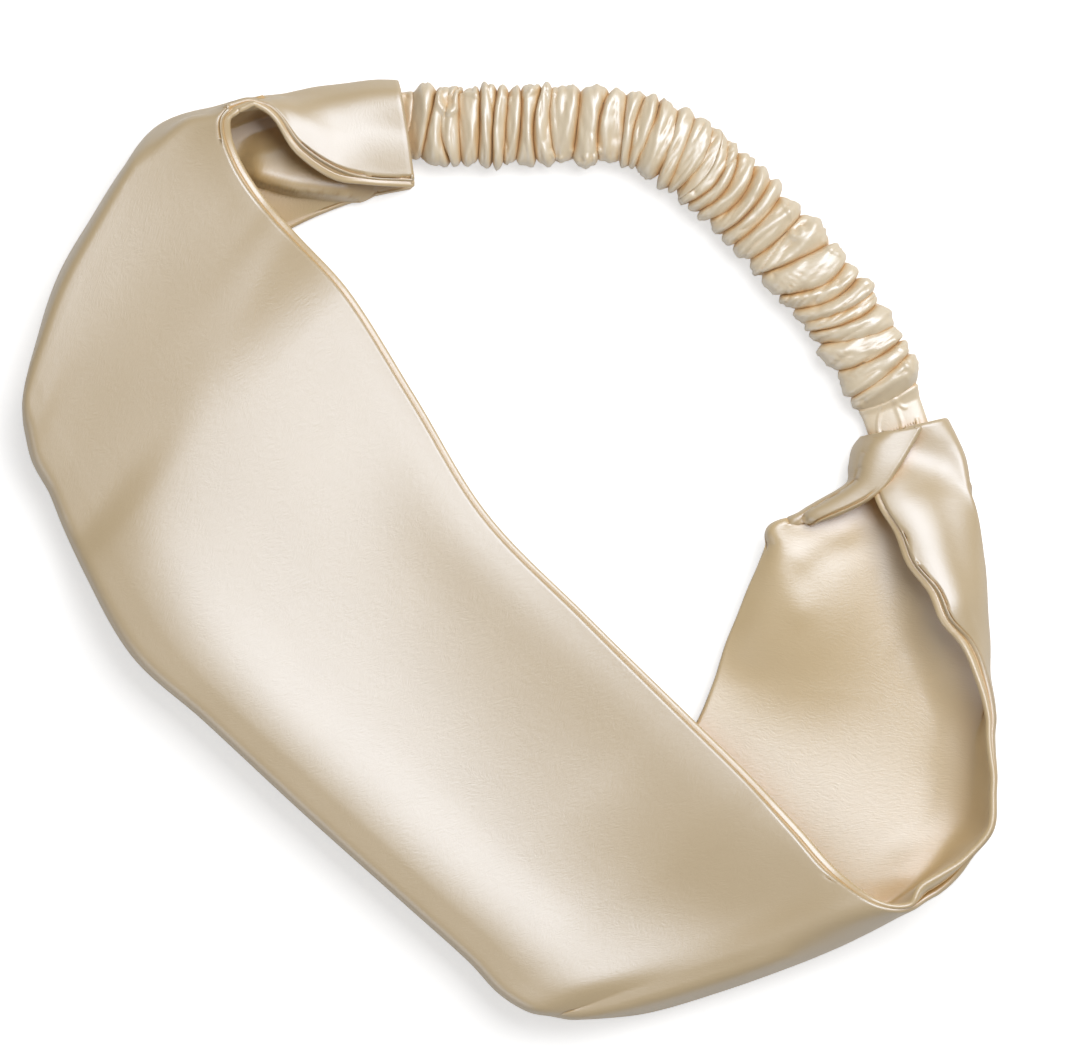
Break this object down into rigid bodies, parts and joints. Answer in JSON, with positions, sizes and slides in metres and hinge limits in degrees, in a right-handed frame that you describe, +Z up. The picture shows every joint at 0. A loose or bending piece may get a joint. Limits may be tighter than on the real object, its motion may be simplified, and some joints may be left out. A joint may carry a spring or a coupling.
{
  "type": "wide satin headband",
  "caption": "Wide champagne satin headband with a smooth double-layer front panel and a gathered elastic casing at the back, lying flat.",
  "frame": {"origin": "centre of the bounding box's underside, on the table under the headband", "axes": "+Z up from the table, +X and +Y across the table, with the gathered casing towards +X and +Y"},
  "size_m": [0.2034, 0.196, 0.0165],
  "materials": {
    "satin": "satin",
    "satin_lining": "satin",
    "seam_allowance": "satin",
    "woven_elastic": "matte",
    "sewing_thread": "matte"
  },
  "bodies": {
    "panel": {"outer_panel": "satin", "lining_panel": "satin_lining", "upper_edge_seam": "seam_allowance", "lower_edge_seam": "seam_allowance", "left_end_allowance": "satin", "right_end_allowance": "satin", "left_elastic_tack": "sewing_thread", "right_elastic_tack": "sewing_thread"},
    "elastic": {"elastic_casing": "satin", "casing_seam": "seam_allowance", "elastic_band": "woven_elastic"}
  },
  "joints": [
    {"name": "elastic_stretch", "type": "slide", "parent": "panel", "child": "elastic", "axis": [0.5283, 0.8491, 0], "range_m": [0, 0.04], "stiffness_N_per_m": 60, "deforming": ["elastic_casing", "casing_seam", "elastic_band"]}
  ]
}
